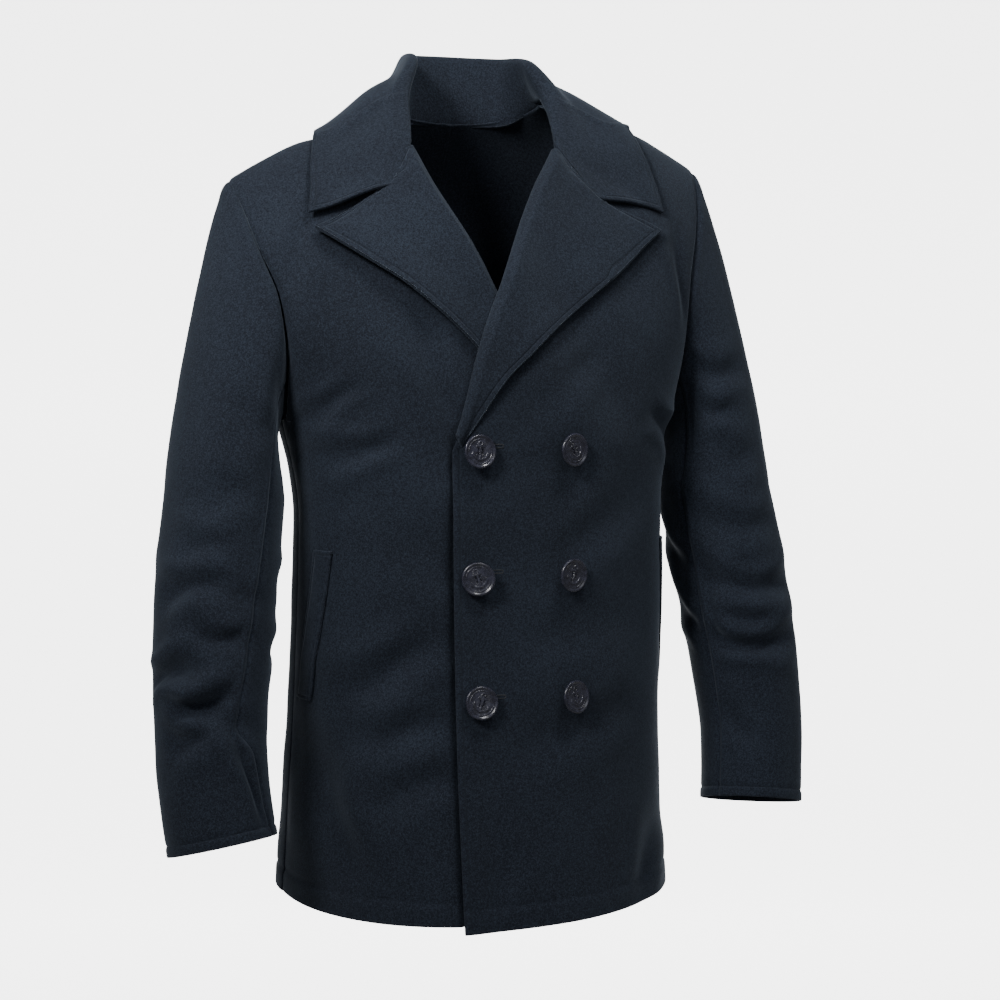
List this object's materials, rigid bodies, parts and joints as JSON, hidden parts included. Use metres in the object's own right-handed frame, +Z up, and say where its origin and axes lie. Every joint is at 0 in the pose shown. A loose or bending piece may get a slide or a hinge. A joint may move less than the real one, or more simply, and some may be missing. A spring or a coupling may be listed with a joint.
{
  "type": "pea coat",
  "caption": "Double-breasted hip-length wool pea coat with notched collar and lapels, set-in sleeves, slanted welt pockets and large buttons, filled out as worn.",
  "frame": {"origin": "the middle of the neck, level with the inner ends of the shoulder seams, where the wearer's neck and shoulders hold the coat up", "axes": "+Z up, the coat faces -Y, +X is the wearer's left"},
  "size_m": [0.6699, 0.3251, 0.838],
  "materials": {
    "wool": "dark navy melton wool, matt with a short nap",
    "button": "dark navy moulded plastic, glossy"
  },
  "bodies": {
    "root": {"left_front": "wool", "left_back": "wool", "left_top_sleeve": "wool", "left_under_sleeve": "wool", "left_lapel": "wool", "left_pocket_welt": "wool", "right_front": "wool", "right_back": "wool", "right_top_sleeve": "wool", "right_under_sleeve": "wool", "right_lapel": "wool", "right_pocket_welt": "wool", "collar": "wool", "button_top_left": "button", "button_top_right": "button", "button_middle_left": "button", "button_middle_right": "button", "button_bottom_left": "button", "button_bottom_right": "button"}
  },
  "joints": []
}
